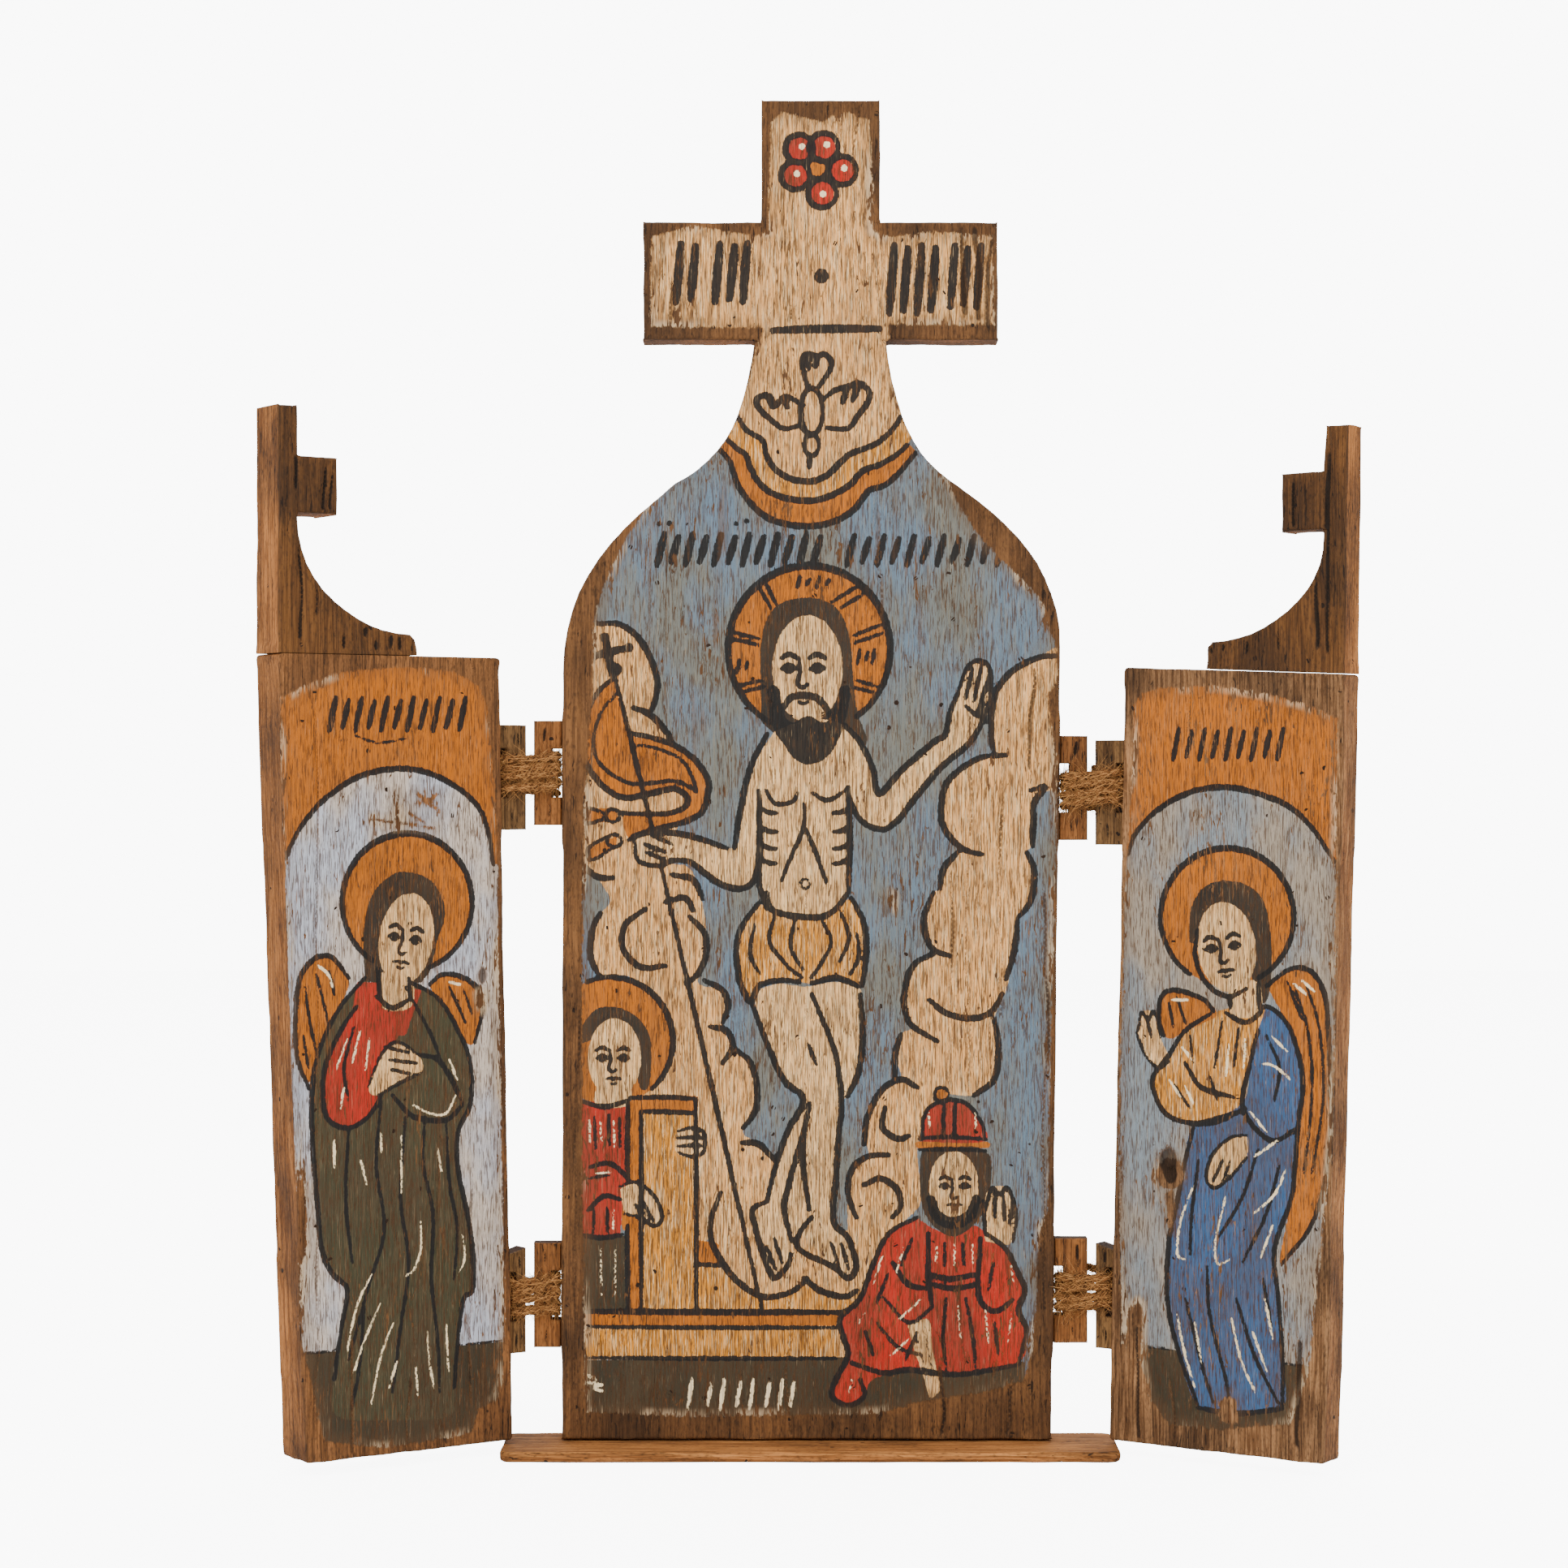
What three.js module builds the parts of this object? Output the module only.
// A small painted wooden triptych altarpiece, standing open.
// A tall central board ends in an ogee and a cross, and stands on a thin base board.
// Two narrower wings hang beside it, each with a half-cross crest standing on its top.
// Every wing hangs on two rope hinges: one wooden bar on each board, lashed together with twine.
// Units are millimetres. X runs to the right, Y to the back and Z up.
// The origin is at the middle of the base's underside.

import * as THREE from "three";

// Central board: one plank, with its ogee shoulders and cross cut from it.
const PANEL_WIDTH = 221.6;
const PANEL_FOOT_TAPER_LEFT = -0.4;
const PANEL_FOOT_TAPER_RIGHT = 4.0;
const PANEL_THICKNESS = 22;
const SHOULDER_LEFT = 345;
const SHOULDER_RIGHT = 357;
const CROSS_UNDERSIDE = 493;
const CROSS_OFFSET = 4;
const NECK_WIDTH = 58.8;
const CROSS_ARM_SPAN = 158;
const CROSS_ARM_HEIGHT = 53;
const CROSS_UPRIGHT_WIDTH = 53.4;
const CROSS_UPRIGHT_HEIGHT = 54;

// Base board: thin, flush with the back of the central board, with a ledge in front.
const BASE_THICKNESS = 4.7;
const BASE_LEDGE = 26;
const BASE_OVERHANG_LEFT = 26.2;
const BASE_OVERHANG_RIGHT = 24.8;
const BASE_CORNER_RADIUS = 6;

// Wings.
const WING_OPEN_ANGLE = 33;
const WING_SETBACK = 0.75;
const WING_FOOT_CLEARANCE = 1;
const WING_MEETING_GAP = 2.2;
const WING_MEETING_OFFSET = -0.9;
const LEFT_WING_THICKNESS = 24.5;
const LEFT_WING_HEIGHT = 346.2;
const LEFT_WING_TOP_DROP = 0;
const LEFT_WING_FOOT_TAPER = 12.6;
const RIGHT_WING_THICKNESS = 17;
const RIGHT_WING_HEIGHT = 342.2;
const RIGHT_WING_TOP_DROP = 4.9;
const RIGHT_WING_FOOT_TAPER = 10.6;

// Crests: one board each, cut to a half cross with a concave foot.
const LEFT_CREST_HEIGHT = 105.8;
const LEFT_CREST_LENGTH = 65.5;
const LEFT_CREST_UPRIGHT_WIDTH = 9.6;
const LEFT_CREST_LEAN = 0;
const LEFT_CREST_TOE_HEIGHT = 9.3;
const LEFT_STUB_REACH = 18.6;
const LEFT_STUB_HEIGHT = 25;
const LEFT_STUB_BELOW_TOP = 21.4;
const RIGHT_CREST_HEIGHT = 101.3;
const RIGHT_CREST_LENGTH = 65;
const RIGHT_CREST_UPRIGHT_WIDTH = 10.4;
const RIGHT_CREST_LEAN = 1.4;
const RIGHT_CREST_TOE_HEIGHT = 12;
const RIGHT_STUB_REACH = 19.4;
const RIGHT_STUB_HEIGHT = 25.6;
const RIGHT_STUB_BELOW_TOP = 19.6;
const CREST_TOE_CHAMFER = 2.4;
const CREST_HOLLOW_DROP = 2.4;

// Rope hinges.
const LEFT_UPPER_HINGE_Z = 301.2;
const LEFT_LOWER_HINGE_Z = 69;
const RIGHT_UPPER_HINGE_Z = 294.5;
const RIGHT_LOWER_HINGE_Z = 71;
const BAR_LENGTH = 46.5;
const BAR_DEPTH = 10;
const BAR_RECESS = 4;
const BAR_GAP = 0.9;
const WING_BAR_DROP = 2;
const BAR_TOP_SLANT = 2.6;
const PANEL_BAR_NECK = 8;
const LEFT_UPPER_WING_BAR_NECK = 9.4;
const LEFT_LOWER_WING_BAR_NECK = 4.6;
const RIGHT_UPPER_WING_BAR_NECK = 10.4;
const RIGHT_LOWER_WING_BAR_NECK = 5;
const TWINE_DIAMETER = 3.8;
const TWINE_PITCH = 4.2;
const TWINE_TURNS = 4.1;

// Fits and wear.
const SEAM = 0.3;
const TWINE_CLEARANCE = 0.3;
const BOARD_WEAR = 1.2;
const BASE_WEAR = 0.8;
const BAR_WEAR = 1.6;
const CORNER_WEAR = 2;

// Facet counts.
const OGEE_SEGMENTS = 11;
const HOLLOW_SEGMENTS = 12;
const CORNER_SEGMENTS = 3;
const TWINE_SIDES = 8;
const TWINE_STEPS = 98;

const paintedWood = { color: 0x9a7a52, roughness: 0.78, metalness: 0 };
const bareWood = { color: 0x7c532c, roughness: 0.85, metalness: 0 };
const baseWood = { color: 0x80552f, roughness: 0.82, metalness: 0 };
const hingeWood = { color: 0x8a5a2e, roughness: 0.85, metalness: 0 };
const jute = { color: 0x7a5f44, roughness: 0.95, metalness: 0 };

const panelBack = (PANEL_THICKNESS + BASE_LEDGE) / 2;
const panelFront = panelBack - PANEL_THICKNESS;
const panelFoot = BASE_THICKNESS + SEAM;
const axisY = panelFront - WING_SETBACK;
const wingFoot = BASE_THICKNESS + WING_FOOT_CLEARANCE;
const notchDepth = TWINE_DIAMETER + 2 * TWINE_CLEARANCE;
const twineRise = TWINE_TURNS * TWINE_PITCH;
const notchHeight = twineRise + TWINE_DIAMETER + 2 * TWINE_CLEARANCE;
const panelBarWidth = PANEL_BAR_NECK + notchDepth;

function point(x, z) {
  return new THREE.Vector2(x, z);
}

function between(start, end, share) {
  return start + (end - start) * share;
}

// A straight edge's distance at one height, from its distance at two heights.
function edgeAt(z, lowZ, low, highZ, high) {
  return between(low, high, (z - lowZ) / (highZ - lowZ));
}

// The outline's corners, each worn round by its own radius.
function wornOutline(corners, radius) {
  const outline = [];
  corners.forEach((corner, i) => {
    const before = corners[(i + corners.length - 1) % corners.length];
    const after = corners[(i + 1) % corners.length];
    const start = corner.clone().lerp(before, Math.min(0.4, radius / corner.distanceTo(before)));
    const end = corner.clone().lerp(after, Math.min(0.4, radius / corner.distanceTo(after)));
    outline.push(...new THREE.QuadraticBezierCurve(start, corner, end).getPoints(CORNER_SEGMENTS));
  });
  return outline;
}

// A board that stands upright: its outline seen from the front, and its front and back planes.
function uprightBoard(outline, front, thickness, wear) {
  const geometry = new THREE.ExtrudeGeometry(new THREE.Shape(outline), {
    depth: thickness - 2 * wear,
    bevelThickness: wear,
    bevelSize: wear,
    bevelOffset: -wear,
    bevelSegments: 1,
  });
  geometry.rotateX(Math.PI / 2);
  geometry.translate(0, front + thickness - wear, 0);
  return geometry;
}

function addMesh(group, name, geometry, finish) {
  const mesh = new THREE.Mesh(geometry, new THREE.MeshStandardMaterial(finish));
  mesh.name = name;
  group.add(mesh);
  return mesh;
}

// The distance from the middle to the central board's edge, which narrows towards its foot.
function panelEdge(side, z) {
  const taper = side < 0 ? PANEL_FOOT_TAPER_LEFT : PANEL_FOOT_TAPER_RIGHT;
  const shoulder = side < 0 ? SHOULDER_LEFT : SHOULDER_RIGHT;
  return edgeAt(z, panelFoot, PANEL_WIDTH / 2 - taper, shoulder, PANEL_WIDTH / 2);
}

// One side's ogee: a convex shoulder and a concave neck, from the side edge to the cross.
function ogee(side) {
  const shoulderZ = side < 0 ? SHOULDER_LEFT : SHOULDER_RIGHT;
  const sideX = (side * PANEL_WIDTH) / 2;
  const neckX = CROSS_OFFSET + (side * NECK_WIDTH) / 2;
  const bendX = between(neckX, sideX, 0.41);
  const bendZ = between(shoulderZ, CROSS_UNDERSIDE, side < 0 ? 0.575 : 0.53);
  const shoulder = new THREE.CubicBezierCurve(
    point(sideX, shoulderZ),
    point(sideX, between(shoulderZ, bendZ, 0.46)),
    point(between(sideX, bendX, 0.38), between(shoulderZ, bendZ, 0.71)),
    point(bendX, bendZ),
  );
  const neck = new THREE.CubicBezierCurve(
    point(bendX, bendZ),
    point(between(bendX, neckX, 0.58), between(bendZ, CROSS_UNDERSIDE, 0.185)),
    point(between(bendX, neckX, 0.84), between(bendZ, CROSS_UNDERSIDE, 0.39)),
    point(neckX, CROSS_UNDERSIDE),
  );
  return [...shoulder.getPoints(OGEE_SEGMENTS), ...neck.getPoints(OGEE_SEGMENTS).slice(1)];
}

function centralPanel() {
  const armTop = CROSS_UNDERSIDE + CROSS_ARM_HEIGHT;
  const crossTop = armTop + CROSS_UPRIGHT_HEIGHT;
  const armEnd = CROSS_ARM_SPAN / 2;
  const uprightEdge = CROSS_UPRIGHT_WIDTH / 2;
  const cross = [
    point(CROSS_OFFSET + armEnd, CROSS_UNDERSIDE),
    point(CROSS_OFFSET + armEnd, armTop),
    point(CROSS_OFFSET + uprightEdge, armTop),
    point(CROSS_OFFSET + uprightEdge, crossTop),
    point(CROSS_OFFSET - uprightEdge, crossTop),
    point(CROSS_OFFSET - uprightEdge, armTop),
    point(CROSS_OFFSET - armEnd, armTop),
    point(CROSS_OFFSET - armEnd, CROSS_UNDERSIDE),
  ];
  const outline = [
    point(-panelEdge(-1, panelFoot), panelFoot),
    point(panelEdge(1, panelFoot), panelFoot),
    ...ogee(1),
    ...cross,
    ...ogee(-1).reverse(),
  ];
  return uprightBoard(outline, panelFront, PANEL_THICKNESS, BOARD_WEAR);
}

function baseBoard() {
  const left = -(PANEL_WIDTH / 2 + BASE_OVERHANG_LEFT);
  const right = PANEL_WIDTH / 2 + BASE_OVERHANG_RIGHT;
  const corners = [
    point(left, -panelBack),
    point(right, -panelBack),
    point(right, panelBack),
    point(left, panelBack),
  ];
  const outline = wornOutline(corners, BASE_CORNER_RADIUS);
  const geometry = new THREE.ExtrudeGeometry(new THREE.Shape(outline), {
    depth: BASE_THICKNESS - 2 * BASE_WEAR,
    bevelThickness: BASE_WEAR,
    bevelSize: BASE_WEAR,
    bevelOffset: -BASE_WEAR,
    bevelSegments: 1,
  });
  geometry.translate(0, 0, BASE_WEAR);
  return geometry;
}

// What differs from one wing to the other. A side of -1 is the left, and 1 the right.
const wings = [
  {
    name: "left",
    side: -1,
    thickness: LEFT_WING_THICKNESS,
    height: LEFT_WING_HEIGHT,
    topDrop: LEFT_WING_TOP_DROP,
    footTaper: LEFT_WING_FOOT_TAPER,
    crest: {
      height: LEFT_CREST_HEIGHT,
      length: LEFT_CREST_LENGTH,
      uprightWidth: LEFT_CREST_UPRIGHT_WIDTH,
      lean: LEFT_CREST_LEAN,
      toeHeight: LEFT_CREST_TOE_HEIGHT,
      stubReach: LEFT_STUB_REACH,
      stubHeight: LEFT_STUB_HEIGHT,
      stubBelowTop: LEFT_STUB_BELOW_TOP,
    },
    hinges: [
      { name: "upper", z: LEFT_UPPER_HINGE_Z, wingNeck: LEFT_UPPER_WING_BAR_NECK, slant: 0 },
      { name: "lower", z: LEFT_LOWER_HINGE_Z, wingNeck: LEFT_LOWER_WING_BAR_NECK, slant: BAR_TOP_SLANT },
    ],
  },
  {
    name: "right",
    side: 1,
    thickness: RIGHT_WING_THICKNESS,
    height: RIGHT_WING_HEIGHT,
    topDrop: RIGHT_WING_TOP_DROP,
    footTaper: RIGHT_WING_FOOT_TAPER,
    crest: {
      height: RIGHT_CREST_HEIGHT,
      length: RIGHT_CREST_LENGTH,
      uprightWidth: RIGHT_CREST_UPRIGHT_WIDTH,
      lean: RIGHT_CREST_LEAN,
      toeHeight: RIGHT_CREST_TOE_HEIGHT,
      stubReach: RIGHT_STUB_REACH,
      stubHeight: RIGHT_STUB_HEIGHT,
      stubBelowTop: RIGHT_STUB_BELOW_TOP,
    },
    hinges: [
      { name: "upper", z: RIGHT_UPPER_HINGE_Z, wingNeck: RIGHT_UPPER_WING_BAR_NECK, slant: 0 },
      { name: "lower", z: RIGHT_LOWER_HINGE_Z, wingNeck: RIGHT_LOWER_WING_BAR_NECK, slant: BAR_TOP_SLANT },
    ],
  },
];

// The hinge axis stands beside the central board, past the bar fixed to its edge.
function axisDistance(wing) {
  return panelEdge(wing.side, wing.hinges[0].z) + SEAM + panelBarWidth + BAR_GAP / 2;
}

// How far a wing's free edge lies from its axis, so that the closed wings leave their gap.
function wingReach(wing) {
  return axisDistance(wing) - WING_MEETING_GAP / 2 - wing.side * WING_MEETING_OFFSET;
}

// The wing board's hinge edge, which lies against the wing bars of both its hinges.
function wingHingeEdge(wing, z) {
  const [upper, lower] = wing.hinges.map((hinge) => ({
    z: hinge.z,
    edge: BAR_GAP / 2 + hinge.wingNeck + notchDepth + SEAM,
  }));
  return edgeAt(z, lower.z, lower.edge, upper.z, upper.edge);
}

// The height of a wing board's top at a distance from its axis: level, or sloping to the free edge.
function wingTop(wing, distance) {
  const top = wingFoot + wing.height;
  const hingeEdge = wingHingeEdge(wing, top);
  const freeEdge = wingReach(wing) - wing.crest.lean;
  return edgeAt(distance, hingeEdge, top, freeEdge, top - wing.topDrop);
}

function wingBoard(wing) {
  const top = wingFoot + wing.height;
  const freeEdge = wingReach(wing) - wing.crest.lean;
  const corners = [
    point(wing.side * wingHingeEdge(wing, wingFoot), wingFoot),
    point(wing.side * (wingReach(wing) - wing.footTaper), wingFoot),
    point(wing.side * freeEdge, wingTop(wing, freeEdge)),
    point(wing.side * wingHingeEdge(wing, top), top),
  ];
  return uprightBoard(wornOutline(corners, CORNER_WEAR), WING_SETBACK, wing.thickness, BOARD_WEAR);
}

// A crest: an upright at the free edge with a short stub, and a hollow curve down to its toe.
function wingCrest(wing) {
  const crest = wing.crest;
  const outer = wingReach(wing) - crest.lean;
  const outerTop = wingReach(wing);
  const inner = outer - crest.uprightWidth;
  const innerTop = outerTop - crest.uprightWidth;
  const toe = outer - crest.length;
  const foot = wingTop(wing, toe) + SEAM;
  const top = wingFoot + wing.height + SEAM + crest.height;
  const stubTop = top - crest.stubBelowTop;
  const stubFoot = stubTop - crest.stubHeight;
  const toeTop = foot + crest.toeHeight;
  const hollowTop = stubFoot - CREST_HOLLOW_DROP;
  const stubEnd = inner - crest.stubReach;
  const hollowStart = toe + CREST_TOE_CHAMFER;
  const hollow = new THREE.CubicBezierCurve(
    point(hollowStart, toeTop),
    point(between(hollowStart, inner, 0.5), toeTop),
    point(inner, between(hollowTop, toeTop, 0.55)),
    point(inner, hollowTop),
  );
  const outline = [
    point(outer, wingTop(wing, outer) + SEAM),
    point(outerTop, top),
    point(innerTop, top),
    point(inner, stubTop),
    point(stubEnd, stubTop),
    point(stubEnd, stubFoot),
    point(inner, stubFoot),
    ...hollow.getPoints(HOLLOW_SEGMENTS).reverse(),
    point(toe, toeTop - CREST_TOE_CHAMFER),
    point(toe, foot),
  ].map((p) => point(wing.side * p.x, p.y));
  return uprightBoard(outline, WING_SETBACK, wing.thickness, BOARD_WEAR);
}

// A hinge bar seen from the front: its inner side faces the axis, and its outer side lies
// against its board and is notched to let the twine pass. The direction is -1 or 1.
function hingeBar(direction, hingeZ, low, slant, outerAt) {
  const inner = BAR_GAP / 2;
  const high = low + BAR_LENGTH;
  const notchLow = hingeZ - notchHeight / 2;
  const notchHigh = hingeZ + notchHeight / 2;
  const outline = [
    point(inner, low),
    point(outerAt(low), low),
    point(outerAt(notchLow), notchLow),
    point(outerAt(notchLow) - notchDepth, notchLow),
    point(outerAt(notchHigh) - notchDepth, notchHigh),
    point(outerAt(notchHigh), notchHigh),
    point(outerAt(high), high - slant),
    point(inner, high),
  ].map((p) => point(direction * p.x, p.y));
  return uprightBoard(outline, BAR_RECESS, BAR_DEPTH, BAR_WEAR);
}

// The smallest convex outline round some points, counter-clockwise.
function convexHull(points) {
  const sorted = [...points].sort((a, b) => a.x - b.x || a.y - b.y);
  const turn = (a, b, c) => (b.x - a.x) * (c.y - a.y) - (b.y - a.y) * (c.x - a.x);
  const chain = (list) => {
    const hull = [];
    for (const p of list) {
      while (hull.length > 1 && turn(hull[hull.length - 2], hull[hull.length - 1], p) <= 0) {
        hull.pop();
      }
      hull.push(p);
    }
    hull.pop();
    return hull;
  };
  return [...chain(sorted), ...chain([...sorted].reverse())];
}

// One turn of the twine in plan: the hull's outline, kept at a distance, with round corners.
function loopAround(hull, distance) {
  const loop = new THREE.CurvePath();
  hull.forEach((corner, i) => {
    const before = hull[(i + hull.length - 1) % hull.length];
    const after = hull[(i + 1) % hull.length];
    const arrive = Math.atan2(corner.y - before.y, corner.x - before.x) - Math.PI / 2;
    let leave = Math.atan2(after.y - corner.y, after.x - corner.x) - Math.PI / 2;
    while (leave < arrive) {
      leave += 2 * Math.PI;
    }
    loop.add(new THREE.EllipseCurve(corner.x, corner.y, distance, distance, arrive, leave, false));
    const outwards = point(Math.cos(leave), Math.sin(leave)).multiplyScalar(distance);
    loop.add(new THREE.LineCurve(corner.clone().add(outwards), after.clone().add(outwards)));
  });
  return loop;
}

class Winding extends THREE.Curve {
  constructor(loop, startShare, turns, rise) {
    super();
    this.loop = loop;
    this.startShare = startShare;
    this.turns = turns;
    this.rise = rise;
  }

  getPoint(t, target = new THREE.Vector3()) {
    const share = (this.startShare + this.turns * t) % 1;
    const flat = this.loop.getPointAt(share);
    return target.set(flat.x, flat.y, this.rise * (t - 0.5));
  }
}

// The bar's section at its notch, in plan from the hinge axis, drawn in by the roundness of its edges.
function neckSection(direction, neck, angle) {
  const inner = BAR_GAP / 2 + BAR_WEAR;
  const outer = BAR_GAP / 2 + neck - BAR_WEAR;
  const front = BAR_RECESS + BAR_WEAR;
  const back = BAR_RECESS + BAR_DEPTH - BAR_WEAR;
  const corners = [point(inner, front), point(outer, front), point(outer, back), point(inner, back)];
  const centre = point(0, 0);
  return corners.map((p) => point(direction * p.x, p.y).rotateAround(centre, angle));
}

function lashing(wing, hinge) {
  const angle = -wing.side * THREE.MathUtils.degToRad(WING_OPEN_ANGLE);
  const panelNeck = panelEdgeNeck(wing, hinge);
  const sections = [
    ...neckSection(-wing.side, panelNeck, 0),
    ...neckSection(wing.side, hinge.wingNeck, angle),
  ];
  const distance = BAR_WEAR + TWINE_DIAMETER / 2 + TWINE_CLEARANCE;
  const loop = loopAround(convexHull(sections), distance);
  const winding = new Winding(loop, 0.62, TWINE_TURNS, twineRise);
  const section = new THREE.Shape();
  section.absarc(0, 0, TWINE_DIAMETER / 2, 0, 2 * Math.PI, false);
  const geometry = new THREE.ExtrudeGeometry(section, {
    steps: TWINE_STEPS,
    curveSegments: TWINE_SIDES / 2,
    extrudePath: winding,
  });
  geometry.translate(wing.side * axisDistance(wing), axisY, hinge.z);
  return geometry;
}

// A panel bar's outer side, and its neck: wider where the board's edge draws in.
function panelBarOuter(wing, z) {
  return axisDistance(wing) - panelEdge(wing.side, z) - SEAM;
}

function panelEdgeNeck(wing, hinge) {
  return panelBarOuter(wing, hinge.z) - notchDepth;
}

const triptych = new THREE.Group();
triptych.name = "triptych";
addMesh(triptych, "central_panel", centralPanel(), paintedWood);
addMesh(triptych, "base_board", baseBoard(), baseWood);

for (const wing of wings) {
  const axisX = wing.side * axisDistance(wing);
  const fixed = new THREE.Group();
  fixed.position.set(axisX, axisY, 0);
  const turning = new THREE.Group();
  turning.position.set(axisX, axisY, 0);
  turning.rotation.z = -wing.side * THREE.MathUtils.degToRad(WING_OPEN_ANGLE);
  triptych.add(fixed, turning);
  addMesh(turning, `${wing.name}_wing_board`, wingBoard(wing), paintedWood);
  addMesh(turning, `${wing.name}_wing_crest`, wingCrest(wing), bareWood);
  for (const hinge of wing.hinges) {
    const name = `${wing.name}_${hinge.name}`;
    const low = hinge.z - BAR_LENGTH / 2;
    const panelSide = (z) => panelBarOuter(wing, z);
    const wingSide = (z) => wingHingeEdge(wing, z) - SEAM;
    const panelBar = hingeBar(-wing.side, hinge.z, low, 0, panelSide);
    const wingBar = hingeBar(wing.side, hinge.z, low - WING_BAR_DROP, hinge.slant, wingSide);
    addMesh(fixed, `${name}_panel_bar`, panelBar, hingeWood);
    addMesh(turning, `${name}_wing_bar`, wingBar, hingeWood);
    addMesh(triptych, `${name}_lashing`, lashing(wing, hinge), jute);
  }
}

export default triptych;
